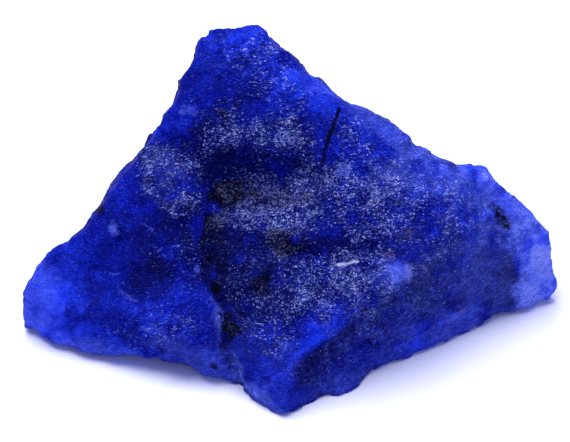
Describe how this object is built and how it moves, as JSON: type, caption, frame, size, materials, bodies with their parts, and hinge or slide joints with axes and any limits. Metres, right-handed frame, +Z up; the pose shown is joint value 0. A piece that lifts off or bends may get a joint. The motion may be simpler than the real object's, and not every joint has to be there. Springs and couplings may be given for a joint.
{
  "type": "rough sapphire",
  "caption": "Rough, broken lump of deep blue granular stone with a peak, a scooped front, a pointed nose and a long crack, lying on a small flat patch.",
  "frame": {"origin": "middle of the stone's box, at the surface it lies on", "axes": "+X along the length of the stone, from the lobe's tip to the broad end, +Z up, and the pointed nose toward -Y"},
  "size_m": [0.0776, 0.0502, 0.0357],
  "materials": {
    "blue_stone": "rough broken surface of fine grains, a little translucent"
  },
  "bodies": {
    "root": {"rough_sapphire": "blue_stone"}
  },
  "joints": []
}
